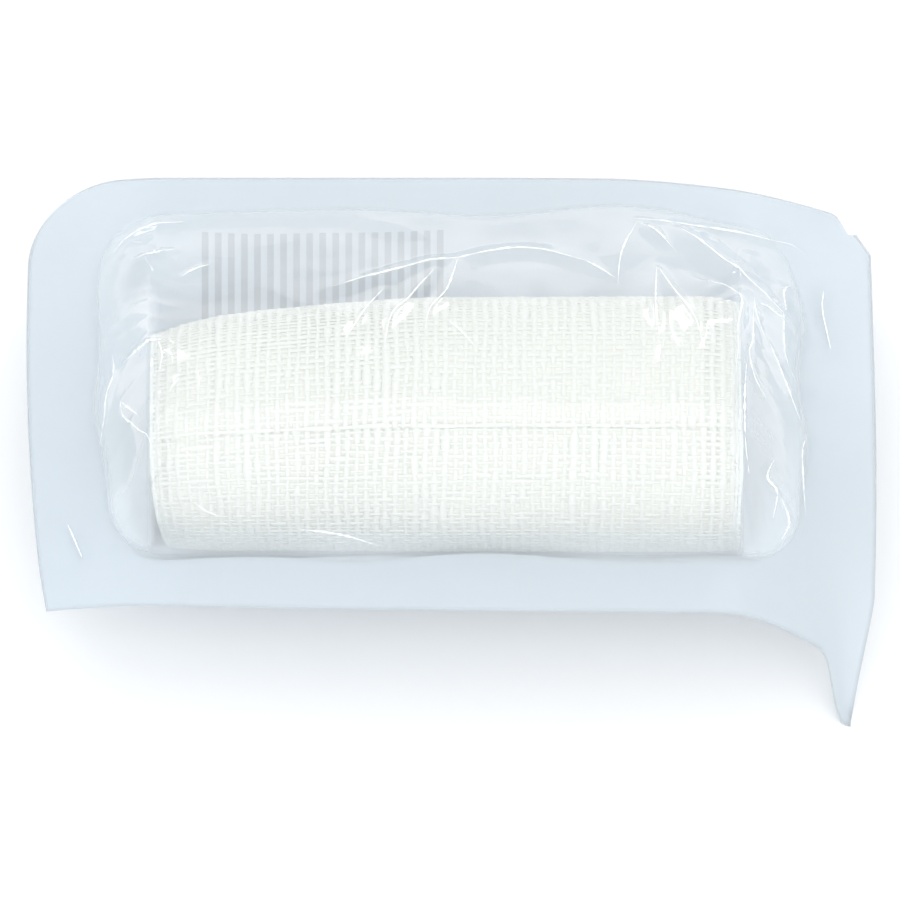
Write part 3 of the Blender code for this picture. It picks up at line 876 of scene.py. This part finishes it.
def crumple_and_painted_light_share(x, y):
    """1 where the film crumples past the roll's ends and near side, less behind it, 0 over it; there its
    haze is also painted light on the shaded wells and the shade under the roll.
    """
    y = y - ROLL_Y
    past_end = np.maximum(ROLL_LEFT - x, x - ROLL_RIGHT) / CRUMPLE_AND_PAINTED_LIGHT_FADE + CRUMPLE_AND_PAINTED_LIGHT_AHEAD
    past_side = (-CRUMPLE_AND_PAINTED_LIGHT_FROM - y) / (2 * CRUMPLE_AND_PAINTED_LIGHT_FADE)
    clear_far = smooth((CRUMPLE_AND_PAINTED_LIGHT_TO - y) / (4 * CRUMPLE_AND_PAINTED_LIGHT_FADE))
    crumple_and_painted_light = smooth(np.maximum(past_end, past_side)) * clear_far
    return np.maximum(crumple_and_painted_light, CRUMPLE_AND_PAINTED_LIGHT_FAR * (1 - clear_far))


def wandered(x, y):
    """x, y shifted so that the cavity's outline wanders a little, as a hand-laid seal does."""
    past_end = np.maximum(ROLL_LEFT - x, x - ROLL_RIGHT) / WANDER_FADE
    past_side = (np.abs(y - ROLL_Y) - ROLL_RADIUS) / WANDER_FADE
    off_roll = smooth(np.maximum(past_end, past_side))
    along = CAVITY_WANDER * off_roll * Ripple(91, 0.020)(y, WANDER_SLANT * x)
    across = WANDER_SHARE_ACROSS * CAVITY_WANDER * off_roll * Ripple(92, 0.026)(x, WANDER_SLANT * y)
    return x + along, y + across


def inside_cavity(x, y):
    return (x > CAVITY_LEFT) & (x < CAVITY_RIGHT) & (y > CAVITY_NEAR) & (y < CAVITY_FAR)


def sheet_height(x, y, side):
    """Height of the sheet over the roll (side 1) or under it (side -1), before its creases."""
    seal = margin_height(*plan_point(x, y))
    x, y = wandered(x, y)
    near = margin_height(x, CAVITY_NEAR + 0 * y)
    far = margin_height(x, CAVITY_FAR + 0 * y)
    girth = 1 - FILM_TAPER * (1 - girth_at(x)) if side > 0 else 1.0
    axis = ROLL_FLOOR + (AXIS_HEIGHT - ROLL_FLOOR) * girth
    drawn = drawn_round(y, roll_y(x), near, far, WRAP_RADIUS * girth, axis, side)
    if side < 0:
        drawn = np.maximum(drawn, PAPER_THICKNESS)
    share = end_share(x, side) * corner_share(x, y)
    return np.where(inside_cavity(x, y), seal + (drawn - seal) * share, seal)


def crest_path(points, count):
    """Even places, in metres, along a smooth curve through the points of a crest."""
    points = np.array(points) * MM + (0.0, ROLL_Y)
    padded = np.vstack([2 * points[0] - points[1], points, 2 * points[-1] - points[-2]])
    t = np.linspace(0, 1, CURVE_STEPS, endpoint=False)[:, None]
    spans = []
    for a, b, c, d in zip(padded, padded[1:], padded[2:], padded[3:]):
        bend = 2 * a - 5 * b + 4 * c - d + t * (3 * (b - c) + d - a)
        spans.append(b + 0.5 * t * (c - a + t * bend))
    curve = np.vstack(spans + [points[-1:]])
    run = np.concatenate([[0.0], np.cumsum(np.hypot(*np.diff(curve, axis=0).T))])
    even = np.linspace(0, run[-1], count)
    return np.stack([np.interp(even, run, curve[:, 0]), np.interp(even, run, curve[:, 1])], axis=-1)


def crest_share(along, start_share, finish_share):
    """How much of its full height a crease has at a share of its length."""
    from_start = start_share + (1 - start_share) * smooth(along / CREST_START_FADE)
    from_finish = finish_share + (1 - finish_share) * smooth((1 - along) / CREST_FINISH_FADE)
    return np.minimum(from_start, from_finish)


def from_crest(x, y, path):
    """How far x, y is from the crest, on which side of it (1 left, -1 right) and how far along it."""
    nearest = np.full(x.shape, np.inf)
    side, along = np.zeros(x.shape), np.zeros(x.shape)
    for k, ((start_x, start_y), (run_x, run_y)) in enumerate(zip(path, np.diff(path, axis=0))):
        from_x, from_y = x - start_x, y - start_y
        share = clamp((from_x * run_x + from_y * run_y) / (run_x ** 2 + run_y ** 2))
        distance = np.hypot(from_x - run_x * share, from_y - run_y * share)
        closer = distance < nearest
        nearest = np.where(closer, distance, nearest)
        side = np.where(closer, np.sign(run_x * from_y - run_y * from_x), side)
        along = np.where(closer, (k + share) / (len(path) - 1), along)
    return nearest, side, along


def crease_rise(x, y):
    """How far the creases of the table lift the film at x, y."""
    rise = np.zeros(x.shape)
    for points, height, left, right, start_share, finish_share in CREASES:
        distance, side, along = from_crest(x, y, crest_path(points, CREASE_PARTS))
        distance = np.sqrt(distance ** 2 + CREST_ROUND ** 2) - CREST_ROUND
        width = np.where(side > 0, left, right) * MM
        straight = CREASE_STRAIGHT * clamp(1 - distance / width)
        profile = straight + CREASE_CURVED * np.exp(-CREASE_FALL * distance / width)
        rise = np.maximum(rise, height * MM * profile * crest_share(along, start_share, finish_share))
    return rise


def make_crests_and_painted_highlights(material):
    """The tight folds along the crest lines, where the film is pinched and whitens; their white is also a
    painted highlight.
    """
    sharp = [row for row in CREASES if row[1] > CREST_LEAST_RISE]
    paths = np.stack([crest_path(row[0], CREST_POINTS) for row in sharp])
    along = np.linspace(0, 1, CREST_POINTS)
    shares = np.stack([crest_share(along, row[4], row[5]) for row in sharp])
    uneven = 1 + CREST_UNEVEN * Ripple(81, 0.10)(along[None, :], np.arange(len(sharp))[:, None] * 0.37)
    arch = np.sin(math.pi * (CREST_TAPER_FROM + CREST_TAPER_OVER * along)) ** CREST_TAPER_POWER
    radius = CREST_RADIUS * shares * uneven * arch
    x, y = paths[..., 0], paths[..., 1]
    points = np.stack([x, y, film_height(x, y) + FILM_THICKNESS - CREST_SINK * CREST_RADIUS], axis=-1)
    upward = np.zeros(points.shape)
    upward[..., 2] = 1.0
    return tubes_object("film_crests_painted_highlight", points, upward, radius, radius, material)


def tension_rise(x, y):
    """Fine wrinkles that run from the roll's two ends out to the seal."""
    draw = np.random.default_rng(61)
    rise = np.zeros(x.shape)
    y = y - ROLL_Y
    for end, sign, room in ((ROLL_LEFT, -1, ROOM_LEFT), (ROLL_RIGHT, 1, ROOM_RIGHT)):
        for _ in range(TENSION_WRINKLES):
            start_y = draw.uniform(*TENSION_STARTS) * ROLL_RADIUS
            end_y = start_y * draw.uniform(*TENSION_SPREADS) + draw.uniform(*TENSION_SHIFTS)
            start_x = end - sign * draw.uniform(*TENSION_OVERLAPS)
            line_x = sign * (room + draw.uniform(*TENSION_REACHES))
            line_y = end_y - start_y
            length = math.hypot(line_x, line_y)
            along = clamp(((x - start_x) * line_x + (y - start_y) * line_y) / length ** 2)
            distance = np.hypot(x - start_x - line_x * along, y - start_y - line_y * along)
            width = draw.uniform(*TENSION_WIDTHS) * MM
            height = draw.uniform(*TENSION_RISES) * MM
            arch = np.sin(math.pi * (TENSION_ARCH_FROM + TENSION_ARCH_OVER * along))
            rise += height * np.exp(-distance / width) * arch
    return rise


def film_height(x, y):
    """Height of the film's inner face, creases and all, nowhere under the paper."""
    base = sheet_height(x, y, 1)
    slack = FILM_WAVE * Ripple(51, 0.017)(x, y) + FILM_SMALL_WAVE * Ripple(52, 0.0065)(x, y)
    waves = np.maximum(slack - FILM_RIDGE * np.abs(Ripple(53, 0.016)(x, y)), FILM_LOWEST)
    height = base + crease_rise(x, y) + inside_share(x, y, FILM_FADE) * (waves + tension_rise(x, y))
    return np.maximum(height, paper_height(x, y)) + SEAL_GAP


def spread(*runs):
    """Grid lines over a row of runs, each with its start, end and step."""
    lines = [np.array([runs[0][0]])]
    for start, end, step in runs:
        count = max(2, round((end - start) / step))
        lines.append(np.linspace(start, end, count + 1)[1:])
    return np.concatenate(lines)


def pouch_grid():
    """Points of the plain rectangle, closer together where the film is creased most."""
    middle_left = ROLL_LEFT + LEFT_STEP_PAST_END
    columns = spread(
        (EDGE_LEFT, CAVITY_LEFT, MARGIN_STEP),
        (CAVITY_LEFT, middle_left, LEFT_STEP),
        (middle_left, RIGHT_STEP_FROM, MIDDLE_STEP),
        (RIGHT_STEP_FROM, CAVITY_RIGHT, RIGHT_STEP),
        (CAVITY_RIGHT, EDGE_RIGHT, MARGIN_STEP),
    )
    rows = spread(
        (EDGE_NEAR, CAVITY_NEAR, MARGIN_STEP),
        (CAVITY_NEAR, CAVITY_FAR, CAVITY_ROW_STEP),
        (CAVITY_FAR, EDGE_FAR, FAR_MARGIN_STEP),
    )
    return np.meshgrid(columns, rows)


def make_sheet(name, height, thickness, side, material):
    x, y = pouch_grid()
    sealed = 1 - smooth(cavity_depth(*wandered(x, y)) / SEAL_FADE)
    # The crumple share doubles as painted light in the shaded wells and under the roll
    shares = {"sealed": sealed, "crumple_and_painted_light": (1 - sealed) * crumple_and_painted_light_share(x, y)}
    points = np.stack([*plan_point(x, y), height(x, y)], axis=-1)
    sheet = grid_object(name, points, material, shares=shares)
    thicken(sheet, thickness, side)
    return sheet


def make_film(material):
    return make_sheet("film_cover_sheet", film_height, FILM_THICKNESS, 1.0, material)


def paper_height(x, y):
    """Height of the paper's inner face, flat where it lies on the table."""
    base = sheet_height(x, y, -1)
    waves = PAPER_WAVE * Ripple(71, 0.022)(x, y) - PAPER_RIDGE * np.abs(Ripple(72, 0.030)(x, y))
    off_table = smooth((base - PAPER_THICKNESS) / PAPER_LIFT)
    return base + inside_share(x, y, PAPER_FADE) * waves * off_table


def make_paper(material):
    return make_sheet("paper_backing_sheet", paper_height, PAPER_THICKNESS, -1.0, material)


# Studio

def make_floor():
    mesh = bpy.data.meshes.new("floor")
    corners = [(x * FLOOR_HALF, y * FLOOR_HALF, 0) for x, y in ((-1, -1), (1, -1), (1, 1), (-1, 1))]
    mesh.from_pydata(corners, [], [(0, 1, 2, 3)])
    floor = bpy.data.objects.new("floor", mesh)
    mesh.materials.append(floor_material())
    bpy.context.scene.collection.objects.link(floor)


def area_light(name, azimuth, elevation, distance, width, height, power):
    """A soft panel that faces the bandage. Azimuth 0 is the viewer's side, and 180 is behind."""
    a, e = math.radians(azimuth), math.radians(elevation)
    back = Vector((math.sin(a) * math.cos(e), -math.cos(a) * math.cos(e), math.sin(e)))
    data = bpy.data.lights.new(name, "AREA")
    data.shape = "RECTANGLE"
    data.size = width
    data.size_y = height
    data.energy = power
    light = bpy.data.objects.new(name, data)
    light.location = back * distance + Vector((0, 0, AXIS_HEIGHT))
    light.rotation_euler = back.to_track_quat("Z", "Y").to_euler()
    light.visible_camera = False
    bpy.context.scene.collection.objects.link(light)


def make_light():
    world = bpy.data.worlds.new("studio")
    bpy.context.scene.world = world
    world.use_nodes = True
    tree = world.node_tree
    background = tree.nodes["Background"]
    background.inputs["Color"].default_value = WORLD_COLOR
    background.inputs["Strength"].default_value = WORLD_STRENGTH
    for panel in PANELS:
        area_light(*panel)


def make_camera():
    look = Vector((0, math.cos(CAMERA_ELEVATION), -math.sin(CAMERA_ELEVATION)))
    data = bpy.data.cameras.new("camera")
    data.sensor_width = SENSOR_WIDTH
    data.lens = SENSOR_WIDTH * CAMERA_DISTANCE / VIEW_WIDTH
    data.clip_start = CLIP_START
    data.clip_end = CLIP_END
    camera = bpy.data.objects.new("camera", data)
    camera.location = VIEW_CENTRE - look * CAMERA_DISTANCE
    camera.rotation_euler = look.to_track_quat("-Z", "Y").to_euler()
    bpy.context.scene.collection.objects.link(camera)
    bpy.context.scene.camera = camera


make_camera()
make_light()
make_floor()
bpy.context.scene.view_settings.view_transform = "Standard"

layers = gauze_layers_material()
thread = gauze_thread_material()
turns = make_gauze_turns(layers)
warp = make_warp(thread)
weft = make_weft(thread)
film = make_film(film_material())
crests = make_crests_and_painted_highlights(crest_and_painted_highlight_material())
paper = make_paper(paper_material())

for piece in (turns, warp, weft, film, crests, paper):
    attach(piece, "root")
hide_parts("gauze_roll")
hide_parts("film_cover")
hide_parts("paper_backing")
